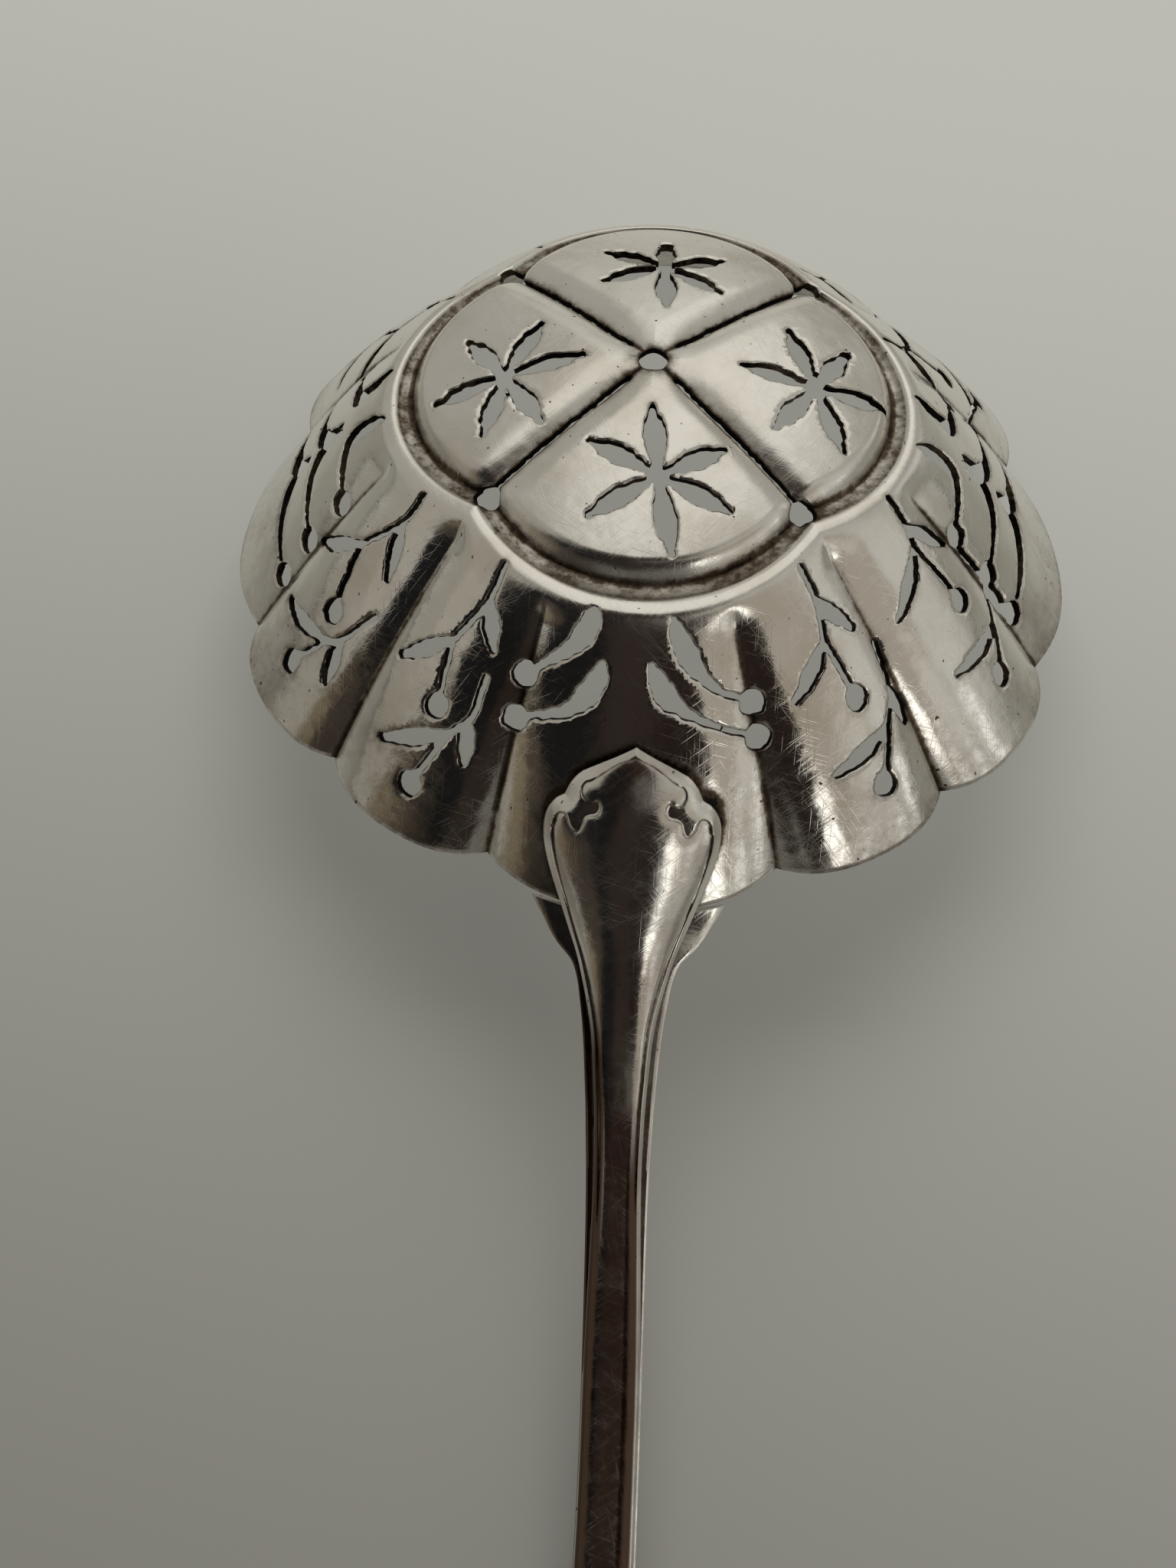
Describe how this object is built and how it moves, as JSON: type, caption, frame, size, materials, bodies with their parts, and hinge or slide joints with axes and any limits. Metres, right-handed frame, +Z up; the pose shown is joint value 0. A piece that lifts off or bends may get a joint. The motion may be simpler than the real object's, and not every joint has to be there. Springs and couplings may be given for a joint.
{
  "type": "pierced serving spoon",
  "caption": "Silver sugar-sifting serving spoon: a round fluted bowl pierced with flowers, leaves and berries, soldered to a slim threaded handle with a wide end.",
  "frame": {"origin": "centre of the box under the spoon, on the surface that it lies on face down", "axes": "+Z up, +Y along the spoon from the end of the handle to the bowl, +X across it"},
  "size_m": [0.0672, 0.211, 0.0285],
  "materials": {
    "bowl_silver": "worn polished silver, tarnished in the grooves",
    "handle_silver": "worn polished silver with fine scratches",
    "silver_solder": "dull tarnished solder"
  },
  "bodies": {
    "root": {"bowl": "bowl_silver", "handle": "handle_silver", "solder_seam": "silver_solder"}
  },
  "joints": []
}
